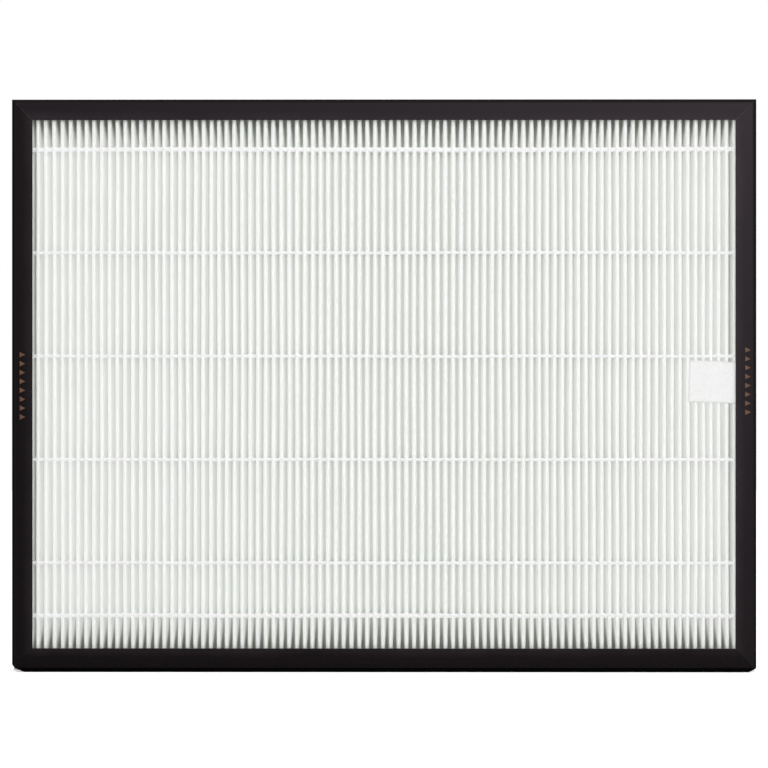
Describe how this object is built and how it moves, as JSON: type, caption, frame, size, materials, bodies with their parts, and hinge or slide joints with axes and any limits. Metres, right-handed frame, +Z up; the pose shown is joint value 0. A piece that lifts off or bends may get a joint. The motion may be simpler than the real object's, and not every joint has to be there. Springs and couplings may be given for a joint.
{
  "type": "pleated panel air filter",
  "caption": "Framed rectangular panel filter: pleated white filter sheet with glue separator rows, dark folded card frame and a cloth pull tab.",
  "frame": {"origin": "middle of the lower edge, on the surface that the filter stands on", "axes": "+X along the width, to the right as seen from the front; +Y from the front face to the rear; +Z up"},
  "size_m": [0.36, 0.03, 0.277],
  "materials": {
    "filter_sheet": "matte nonwoven, slightly translucent",
    "separator_glue": "satin hot-melt glue",
    "frame_card": "matte black laminated card",
    "seal_adhesive": "satin hot-melt glue",
    "tab_cloth": "matte nonwoven"
  },
  "bodies": {
    "root": {"pleated_media": "filter_sheet", "front_bead_1": "separator_glue", "front_bead_2": "separator_glue", "front_bead_3": "separator_glue", "front_bead_4": "separator_glue", "front_bead_5": "separator_glue", "front_bead_6": "separator_glue", "rear_bead_1": "separator_glue", "rear_bead_2": "separator_glue", "rear_bead_3": "separator_glue", "rear_bead_4": "separator_glue", "rear_bead_5": "separator_glue", "rear_bead_6": "separator_glue", "rail_top": "frame_card", "rail_bottom": "frame_card", "rail_left": "frame_card", "rail_right": "frame_card", "end_seal_top": "seal_adhesive", "end_seal_bottom": "seal_adhesive", "side_seal_left": "seal_adhesive", "side_seal_right": "seal_adhesive", "pull_tab": "tab_cloth"}
  },
  "joints": []
}
